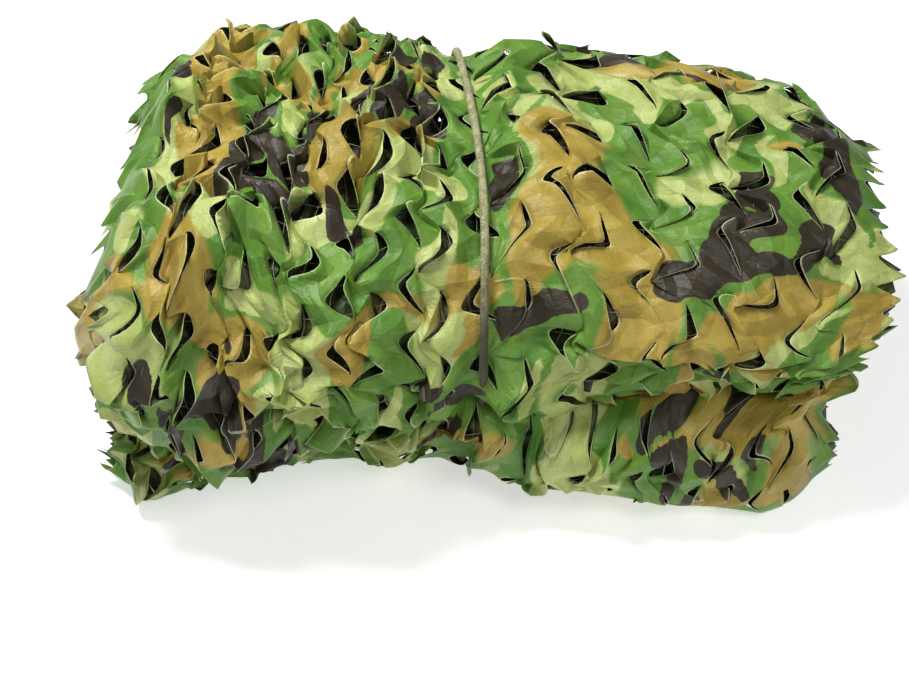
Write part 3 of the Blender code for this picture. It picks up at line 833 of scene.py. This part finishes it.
def leaf_net(name, q_from, q_to, seed, off, marks, column, lift, drift, gape, leaves):
    """A length of leaf-cut net on the folds.

    It is made of strips of triangles between slit lines, which are joined where
    the lines aren't cut. Its points are put on the bundle by their width and run.
    """
    rng = np.random.default_rng(seed)
    cells = int(round((q_to - q_from) / LEAF_RUN))
    rows = (ROW * np.arange(cells)[:, None] + np.array(marks)).ravel()
    rows = np.append(rows, ROW * cells).astype(float)
    q = q_from + (q_to - q_from) * rows / (ROW * cells)
    lines = cut_lines(rng, rows, drift * np.sin(DRIFT_WAVE * q + seed), leaves)
    heights = [crumple(rng, rows, LINE_CRUMPLE) for _ in lines]
    slit_count = ROW * cells // leaves[0][0] + 5

    flats, places, corners, edges = [], [], [], []
    used = 0
    before = None
    for number, sides in enumerate(zip(lines, lines[1:])):
        grid = strip_grid(rng, rows, sides, heights[number:number + 2], column)
        bent = folded_strip(rng, rows, q, sides, grid, gape, slit_count)
        p = grid[0]
        places.append(bent.reshape(-1, 3))
        flats.append(np.stack((p, np.broadcast_to(q[:, None], p.shape)), axis=-1).reshape(-1, 2))
        at_edge = np.zeros(p.shape)
        at_edge[sides[0].share > 0.0, 0] = 1.0
        at_edge[sides[1].share > 0.0, -1] = 1.0
        edges.append(at_edge.ravel())
        index = used + np.arange(p.size).reshape(p.shape)
        used += p.size
        if before is not None:
            joined = sides[0].share <= 0.0
            index[joined, 0] = before[joined, -1]
        before = index
        quads = np.stack((index[:-1, :-1], index[1:, :-1], index[1:, 1:], index[:-1, 1:]), axis=-1)
        corners.append(quads.reshape(-1, 4))

    kept, corners = np.unique(np.vstack(corners), return_inverse=True)
    flats = np.vstack(flats)[kept]
    edges = np.concatenate(edges)[kept]
    triangles = cut_quads(flats, corners.reshape(-1, 4))
    p, q, height = np.vstack(places)[kept].T
    inward = soft_step((q - q_from) / SWAY_FADE) * soft_step((q_to - q) / SWAY_FADE)
    wave = np.sin(31.0 * p + seed) + 0.6 * np.sin(67.0 * p + 2.0 * seed + 9.0 * q)
    sway = inward * ROW_SWAY * wave
    q = q + sway
    flats[:, 1] += sway
    points = on_bundle(p, q, off + outer_rise(p, q) + freedom(p, q) * lift * height)
    return mesh_piece(name, points, triangles, flats, print_fields(flats) | {"edge": edges}, CREASE_ANGLE)


# ------------------------------------------------------------------ net, its print
# Four-colour woodland print on the polyester cloth: green ground, then light green, tan and black patches
# with soft lobed outlines. The cut edges are pale, partly as a painted highlight where light catches them.

# columns: middle along the width and the run, half size each way (mm), turn (degrees)
TAN_PATCHES = (
    (-184, 140, 15, 52, 0), (-182, 92, 17, 20, 0), (-140, 118, 12, 11, 0), (-133, 155, 12, 17, 0),
    (-107, 176, 6, 26, 0), (-94, 115, 8, 11, 0), (-82, 158, 14, 10, 20), (-55, 168, 30, 13, 0),
    (-172, 232, 17, 32, 0), (-88, 228, 19, 30, 15), (-42, 218, 16, 11, 0), (-184, 270, 7, 14, 0),
    (-180, 318, 26, 20, 10), (-228, 310, 14, 9, 0), (-145, 340, 28, 9, 0), (-75, 337, 12, 17, 0),
    (-46, 325, 20, 9, 0), (-8, 326, 11, 12, 0), (-8, 348, 8, 6, 0), (-140, 363, 22, 9, 0),
    (-152, 395, 24, 9, 0), (53, 222, 23, 28, 0), (52, 277, 26, 26, 0), (28, 306, 16, 20, 0),
    (92, 318, 21, 40, 0), (84, 352, 16, 20, 0), (130, 114, 24, 22, 0), (95, 118, 13, 14, 0),
    (156, 106, 12, 14, 0), (182, 188, 6, 9, 0), (185, 306, 24, 9, -30), (150, 334, 26, 12, -30),
    (122, 372, 10, 22, 0), (151, 365, 11, 20, 0), (178, 380, 7, 18, 0), (226, 312, 15, 24, 0),
    (176, 932, 24, 16, 0), (206, 945, 16, 20, 0), (186, 972, 28, 9, 0), (150, 985, 16, 6, 0),
    (-170, 948, 40, 10, 0), (-10, 952, 28, 8, 0), (140, 946, 12, 8, 0), (100, 940, 8, 6, 0),
)
BLACK_PATCHES = (
    (-203, 164, 10, 20, 0), (-205, 214, 7, 15, 0), (-149, 228, 11, 21, 0), (-118, 236, 11, 19, -40),
    (-113, 209, 8, 8, 0), (-153, 260, 9, 12, 0), (-128, 262, 17, 7, 0), (-82, 270, 7, 18, -20),
    (-79, 186, 5, 7, 0), (-148, 196, 9, 10, 0), (-55, 196, 12, 9, 0), (-36, 190, 11, 8, 0),
    (-31, 209, 9, 7, 0), (-45, 147, 16, 7, -15), (-22, 130, 7, 17, 25), (14, 256, 10, 17, 0),
    (33, 331, 23, 8, -12), (160, 230, 8, 17, 0), (151, 262, 12, 18, 20), (136, 292, 13, 17, 30),
    (113, 315, 15, 8, -28), (165, 296, 18, 8, -20), (190, 272, 8, 16, 15), (203, 164, 9, 24, 0),
    (212, 205, 9, 28, -10), (220, 130, 8, 20, 0), (88, 95, 11, 16, -20), (62, 88, 13, 8, 0),
    (131, 123, 6, 5, 0), (-203, 361, 14, 13, 0), (-155, 374, 25, 8, 0), (-145, 356, 6, 9, 0),
    (-133, 386, 5, 15, 0), (-186, 387, 4, 12, 0), (-180, 407, 13, 9, 0), (-138, 411, 13, 8, 0),
    (-32, 370, 7, 11, 0), (-13, 395, 14, 15, 0), (143, 391, 8, 11, 0), (58, 402, 7, 10, 0),
    (112, 918, 12, 5, 0), (120, 934, 7, 9, -10), (128, 956, 7, 8, 0), (157, 964, 15, 5, 10),
    (150, 925, 5, 14, -12), (172, 916, 6, 9, -20), (140, 978, 12, 4, 0), (-130, 962, 10, 8, 0),
    (-20, 940, 13, 6, 0), (-188, 950, 8, 5, 0), (178, 950, 6, 6, 0),
)
LIGHT_PATCHES = (
    (-135, 82, 12, 18, 0), (-90, 180, 8, 20, 0), (-58, 240, 16, 12, 0), (-62, 268, 18, 14, 0),
    (-196, 270, 15, 17, 0), (-170, 290, 17, 8, 0), (-88, 272, 22, 10, 0), (-98, 332, 16, 18, 0),
    (-115, 366, 10, 14, 0), (-92, 378, 11, 28, 0), (-48, 388, 10, 26, 0), (-22, 262, 10, 14, 0),
    (-25, 300, 14, 12, 0), (-130, 315, 12, 10, 0), (-160, 120, 8, 14, 0), (-70, 110, 12, 8, 0),
    (-122, 195, 8, 10, 0), (27, 165, 6, 36, 0), (53, 172, 8, 28, 0), (68, 184, 8, 18, 0),
    (33, 225, 5, 24, 0), (8, 140, 6, 22, 0), (105, 148, 22, 12, 0), (98, 170, 10, 12, 0),
    (155, 152, 28, 8, 0), (145, 177, 12, 20, 0), (172, 195, 6, 26, 0), (175, 138, 8, 14, 0),
    (212, 268, 10, 26, 0), (190, 320, 30, 5, -35), (27, 390, 9, 24, 0), (62, 372, 10, 14, 0),
    (235, 262, 9, 20, 0), (-225, 345, 12, 16, 0), (-222, 285, 10, 14, 0), (-110, 398, 8, 14, 0),
    (50, 948, 26, 7, 0), (30, 918, 18, 8, 20), (92, 925, 14, 6, 0), (70, 970, 34, 6, 0),
    (-100, 962, 36, 7, 0), (-205, 965, 20, 8, 0), (-60, 940, 24, 6, 0), (20, 965, 12, 9, 0),
)
# Runs of the strip where the print shows in front, so that its patches were placed one by one
SEEN_UPPER = (0.060, 0.410)
SEEN_LOWER = (0.885, 0.985)
SEEN_FADE = 0.02
WARP = 0.0042
WARP_WAVES = (0.055, 0.020, 16)    # longest, shortest and how many
LIGHT_GAIN = 1.5
DARK_GAIN = 2.0
SMALL_LIGHT = 0.42        # share of the small scattered light patches
# How far each colour spreads past its placed patches, and how rare it is where none was placed
LIGHT_SPREAD = 0.08
TAN_SPREAD = 0.10
BLACK_SPREAD = 0.06
LIGHT_RARE = 0.2
TAN_RARE = 0.75
BLACK_RARE = 1.25

# Each colour's darker and paler tone
GREEN = ((0.068, 0.188, 0.018), (0.134, 0.258, 0.030))
LIGHT_GREEN = ((0.32, 0.39, 0.095), (0.43, 0.49, 0.170))
TAN = ((0.295, 0.207, 0.027), (0.40, 0.298, 0.050))
BLACK = ((0.019, 0.013, 0.006), (0.034, 0.025, 0.012))
REVERSE = (0.17, 0.185, 0.045)
REVERSE_COVER = 0.40      # how far the unprinted side hides the print
# Cut edges: partly their own pale cut and partly a painted highlight where light catches them; their colour,
# how far they go towards it and how much of the rim is
PALE_EDGE_WITH_HIGHLIGHT = (0.80, 0.84, 0.50)
EDGE_HIGHLIGHT_SHARE = 0.45          # how pale the cut edges are, and how much of them is
EDGE_COVER = 0.75
NO_LIGHT = (0.0, 0.0, 0.0)
BORDER_SOFTNESS = (("light", 0.10), ("tan", 0.26), ("black", 0.07))
BORDER_RAGGED = 0.03
THREAD_SHADE = 0.22       # darkening between the threads of the weave
WEAVE_RELIEF = 0.20       # heights of the fine relief (mm)
WRINKLE_RELIEF = 0.9
# Pressed creases that cross; columns: turn (radians), how close they lie, height (mm)
CREASES = ((0.5, 16.0, 1.6), (1.7, 11.5, 2.3), (2.6, 8.0, 2.1))
# Painted shade: the lower plies' colour is darkened by this share
UNDER_PAINTED_SHADE = 0.80        # lower plies get little of the studio's light


def patches(p, q, placed):
    """Sum of soft flat-topped hills, one for each patch, less the height of a hill at its patch's border."""
    units = (MILLIMETRE, MILLIMETRE, MILLIMETRE, MILLIMETRE, math.radians(1.0))
    middle_p, middle_q, half_p, half_q, turn = (np.array(placed, float) * units).T
    p, q = p[:, None] - middle_p, q[:, None] - middle_q
    far = ((p * np.cos(turn) + q * np.sin(turn)) / half_p) ** 2
    far = far + ((q * np.cos(turn) - p * np.sin(turn)) / half_q) ** 2
    return np.exp(-np.minimum(far, 6.0) ** 1.5).sum(axis=1) - math.exp(-1.0)


def print_fields(flat):
    """Depth inside each printed colour's patches, over 0 inside them.

    Small waves warp the cloth coordinates. The placed patches count where the
    print shows in front, and uneven fields less a colour's rarity elsewhere.
    """
    p, q = flat.T
    seen = 0.0 * q
    for first, last in (SEEN_UPPER, SEEN_LOWER):
        begun = soft_step((q - first + SEEN_FADE) / SEEN_FADE)
        seen = seen + begun * soft_step((last + SEEN_FADE - q) / SEEN_FADE)
    warp_p = WARP * waves(p, q, 11, *WARP_WAVES)
    warp_q = WARP * waves(p, q, 12, *WARP_WAVES)
    p, q = p + warp_p, q + warp_q
    small = waves(p, 0.7 * q, 24, 0.100, 0.045, 20)
    light = waves(p, 0.8 * q, 21, 0.12, 0.05, 22) - LIGHT_RARE
    tan = waves(p, 0.9 * q, 22, 0.14, 0.06, 22) - TAN_RARE
    black = waves(p, 1.1 * q, 23, 0.12, 0.05, 22) - BLACK_RARE
    placed_light = LIGHT_GAIN * patches(p, q, LIGHT_PATCHES) + SMALL_LIGHT * small + LIGHT_SPREAD
    placed_tan = patches(p, q, TAN_PATCHES) + TAN_SPREAD
    placed_black = patches(p, q, BLACK_PATCHES) + BLACK_SPREAD
    return {
        "light": seen * placed_light + (1.0 - seen) * light,
        "tan": seen * DARK_GAIN * placed_tan + (1.0 - seen) * tan,
        "black": seen * DARK_GAIN * placed_black + (1.0 - seen) * black,
    }


def net_finish(name, is_reverse, shade):
    """Printed polyester: four colours with soft borders, pressed creases, a fine weave, pale cut edges that
    are partly a painted highlight, and a given share of painted shade over all.
    """
    finish = Finish(name, 0.47, sheen=0.03)
    finish.shader.inputs["Specular IOR Level"].default_value = 0.34
    place = finish.node("UVMap", {"uv_map": "flat"}, {})
    ragged_by = (finish.flat_noise(place, 110.0, 110.0, 1.0) - 0.5) * BORDER_RAGGED
    light, tan, black = [
        finish.step(finish.number(colour) + ragged_by, -soft, soft) for colour, soft in BORDER_SOFTNESS]
    tone = finish.step(finish.flat_noise(place, 45.0, 45.0, 3.0), 0.3, 0.7)
    colour = finish.mix(tone, *GREEN)
    for inside, tones in ((light, LIGHT_GREEN), (tan, TAN), (black, BLACK)):
        colour = finish.mix(inside, colour, finish.mix(tone, *tones))
    if is_reverse:
        colour = finish.mix(REVERSE_COVER, colour, REVERSE)
    weave = finish.flat_noise(place, 1800.0, 220.0, 1.0)
    weft = finish.flat_noise(place, 220.0, 1800.0, 1.0)
    threads = finish.step((weave + weft) * 0.5, 0.30, 0.70)
    colour = finish.mix(threads, finish.mix(THREAD_SHADE, colour, NO_LIGHT), colour)
    # Cut edges are made paler, partly a painted highlight
    rim = finish.step(finish.number("edge"), 0.80, 0.86)
    pale = finish.mix(EDGE_HIGHLIGHT_SHARE, colour, PALE_EDGE_WITH_HIGHLIGHT)
    colour = finish.mix(rim * EDGE_COVER, colour, pale)
    # Painted shade: the whole colour darkens by the given share
    colour = finish.mix(shade, colour, NO_LIGHT)
    wrinkle = finish.flat_noise(place, 110.0, 190.0, 3.0)
    relief = (weave + weft) * WEAVE_RELIEF + wrinkle * WRINKLE_RELIEF
    for turn, closeness, height in CREASES:
        turned = finish.node("Mapping", {}, {"Vector": place, "Rotation": (0.0, 0.0, turn)})
        bends = {"Distortion": 7.0, "Detail": 1.0, "Detail Scale": 1.4}
        wave = {"Vector": turned, "Scale": closeness, **bends}
        relief = relief + finish.node("TexWave", {"wave_profile": "TRI"}, wave, out=1) * height
    bump = finish.node("Bump", {}, {"Strength": 0.9, "Distance": 0.001, "Height": relief})
    return finish.surface(Base_Color=colour, Normal=bump)


cloth = net_finish("net_cloth", False, 0.0)
cloth_reverse = net_finish("net_cloth_back", True, 0.0)
# Copies with painted shade, for the plies below the outer ones
shaded_cloth = net_finish("net_cloth_under", False, UNDER_PAINTED_SHADE)
shaded_reverse = net_finish("net_cloth_under_back", True, UNDER_PAINTED_SHADE)

# ------------------------------------------------------------------ net, its backing
# A square net of thin olive polyester threads carries the cloth, which is
# stitched to it. It shows only through the open slits of the outer ply.

THREAD_RADIUS = 0.00025
THREAD_PITCH = 0.016
THREAD_DEPTH = 0.0050     # below the outer ply
THREAD_MARGIN = 0.010     # between the outermost thread and the strip's edge
RANGE_MARGIN = 0.02       # between the last thread across and the ply's end
THREAD_TONES = ((0.10, 0.11, 0.05), (0.34, 0.34, 0.22))
# Runs of the strip where the upper fold's outer ply ends, and the lower fold's begins and ends
TOP_END = TURN_RUNS[1] + 0.030
LOW_START = TURN_RUNS[4] - 0.050
LOW_END = TURN_RUNS[7] + 0.040


def tubes(lines, first, second, radius):
    """Three-sided tubes round rows of points; first and second span each tube's cross-section."""
    angle = 2 * np.pi * np.arange(3)[:, None] / 3
    ring = np.cos(angle) * first[:, :, None] + np.sin(angle) * second[:, :, None]
    points = lines[:, :, None] + radius * ring
    index = np.arange(points.size // 3).reshape(points.shape[:3])
    turned = np.roll(index, -1, axis=2)
    quads = np.stack((index[:, :-1], turned[:, :-1], turned[:, 1:], index[:, 1:]), axis=-1)
    return points.reshape(-1, 3), quads.reshape(-1, 4)


def backing_net(name, ranges):
    """Fine square net under the leaves: thin tubes along and across the strip, which waves set astray."""
    points, quads = [], []
    for q_from, q_to in ranges:
        along = np.arange(q_from, q_to, THREAD_PITCH / 3)
        across = np.arange(-HALF_LENGTH + THREAD_MARGIN, HALF_LENGTH - THREAD_MARGIN, THREAD_PITCH / 3)
        p, q = np.meshgrid(across, along)
        p = p + 0.002 * waves(p, q, 51, 0.06, 0.03, 8)
        uneven = 0.0012 * waves(p, q, 52, 0.05, 0.02, 8)
        middle = on_bundle(p, q, outer_rise(p, q) - THREAD_DEPTH + uneven)
        up = np.stack([np.interp(along, RUN, OUTWARD[:, k]) for k in (0, 1)], axis=-1)
        up = np.column_stack((0.0 * along, up))
        ahead = np.column_stack((0.0 * along, -up[:, 2], up[:, 1]))
        side = np.array((((1.0, 0.0, 0.0),),))
        lengthwise = tubes(middle[:, ::3].transpose(1, 0, 2), side, up[None], THREAD_RADIUS)
        crosswise = tubes(middle[::3], up[::3, None], ahead[::3, None], THREAD_RADIUS)
        for some_points, some_quads in (lengthwise, crosswise):
            quads.append(some_quads + sum(map(len, points)))
            points.append(some_points)
    return mesh_piece(name, np.vstack(points), np.vstack(quads))


def thread_finish():
    """Olive threads, here paler and there darker."""
    finish = Finish("net_thread", 0.6)
    place = finish.node("TexCoord", {}, {}, out=3)
    return finish.surface(Base_Color=finish.mix(finish.noise(place, 90.0, 2.0), *THREAD_TONES))


thread_ranges = ((0.0, TOP_END - RANGE_MARGIN), (LOW_START + RANGE_MARGIN, LOW_END - RANGE_MARGIN))
threads = backing_net("net_backing_threads", thread_ranges)
threads.data.materials.append(thread_finish())
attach(threads, "root")
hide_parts("net")

# ------------------------------------------------------------------ net, its plies
# The cloth of the net where it shows: the outer plies of both folds, the plies
# between, seen at the two ends, and those below, seen through the slits.

CLOTH = 0.00025
FRONT_END = 1.100         # run where the lower fold's outer ply has turned under the bundle
# Rows of the mesh in each leaf's run
FINE = range(ROW)
MEDIUM = (0, 3, 5, 9, 13, 15, 19, 23)
COARSE = (0, 5, 13, 19)
# Kinds of leaf on the left and the right of the cord: leaves lie gathered in the left half of the
# upper fold and in the lower fold
ALL_OPEN = (OPEN_LEAF, OPEN_LEAF)
ALL_CLOSE = (CLOSE_LEAF, CLOSE_LEAF)
HALF_AND_HALF = (GATHERED_LEAF, OPEN_LEAF)
# columns: name, run from and to, seed, rise off the folds, rows, width of a column, how far leaves
# lift, drift of the slit lines, how far slits gape, leaves
NET_PIECES = (
    ("net_upper_ply", 0.0, TOP_END, 3, 0.0015, FINE, 0.0050, 1.0, 0.010, 1.0, HALF_AND_HALF),
    ("net_lower_ply", LOW_START, FRONT_END, 4, 0.0010, FINE, 0.0040, 1.0, 0.010, 1.0, ALL_CLOSE),
    ("net_bottom_ply", FRONT_END, LOW_END, 9, 0.0010, MEDIUM, 0.0060, 1.0, 0.010, 1.0, ALL_OPEN),
    ("net_inner_plies_a", TOP_END, LOW_START, 5, 0.0, COARSE, 0.0120, 0.8, 0.010, 0.7, ALL_OPEN),
    ("net_inner_plies_b", LOW_END, RUN[-1], 6, 0.0, COARSE, 0.0120, 0.8, 0.010, 0.7, ALL_OPEN),
    ("net_upper_under_ply", 0.0, TOP_END, 7, -0.0110, MEDIUM, 0.0080, 0.7, 0.024, 0.3, ALL_OPEN),
    ("net_lower_under_ply", LOW_START, LOW_END, 8, -0.0070, MEDIUM, 0.0080, 0.7, 0.024, 0.2, ALL_OPEN),
)
for name, q_from, q_to, *how in NET_PIECES:
    ply = leaf_net(name, q_from, q_to, *how)
    # Plies below the outer ones get the copies with painted shade
    under = "under" in name
    ply.data.materials.append(shaded_cloth if under else cloth)
    ply.data.materials.append(shaded_reverse if under else cloth_reverse)
    thick = ply.modifiers.new("cloth", "SOLIDIFY")
    thick.thickness = CLOTH
    thick.offset = 0.0
    thick.material_offset = 1
    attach(ply, "root")
    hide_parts("net")
    on_it = [threads] if name == "net_upper_ply" else []
    q_to - q_from

# ------------------------------------------------------------------ studio
# The bundle lies on a wide white sweep. One soft light stands high at its left
# and a weaker one in front at its right, and pale light comes from all round.

FLOOR_REACH = 4.0
FLOOR_WHITE = (0.80, 0.80, 0.80)
WHITE = (1.0, 1.0, 1.0)
FLOOR_GLOW = 0.54
SKY_GLOW = 0.19
# columns: name, place, aimed at, wide, high, power
LIGHTS = (
    ("overhead", (-0.50, 0.15, 1.4), (0.0, 0.0, 0.05), 0.5, 0.4, 27.0),
    ("front", (0.75, -1.0, 1.5), (0.0, 0.0, 0.08), 0.8, 0.6, 11.0),
)

floor_corners = np.array(((-1.0, -1.0, 0.0), (1.0, -1.0, 0.0), (1.0, 1.0, 0.0), (-1.0, 1.0, 0.0)))
floor = mesh_piece("floor", FLOOR_REACH * floor_corners, np.array(((0, 1, 2, 3),)))
sweep = Finish("floor", 0.7)
floor.data.materials.append(sweep.surface(
    Base_Color=FLOOR_WHITE, Emission_Color=WHITE, Emission_Strength=FLOOR_GLOW))

surround = bpy.data.worlds.new("surround")
surround.use_nodes = True
sky = surround.node_tree.nodes["Background"]
sky.inputs["Color"].default_value = (*WHITE, 1.0)
sky.inputs["Strength"].default_value = SKY_GLOW
bpy.context.scene.world = surround

for name, place, aimed, wide, high, power in LIGHTS:
    lamp = bpy.data.lights.new(name, "AREA")
    lamp.shape = "RECTANGLE"
    lamp.size = wide
    lamp.size_y = high
    lamp.energy = power
    stand = bpy.data.objects.new(name, lamp)
    stand.location = place
    stand.rotation_euler = (Vector(aimed) - Vector(place)).to_track_quat("-Z", "Y").to_euler()
    bpy.context.scene.collection.objects.link(stand)

bpy.context.scene.view_settings.view_transform = "Standard"
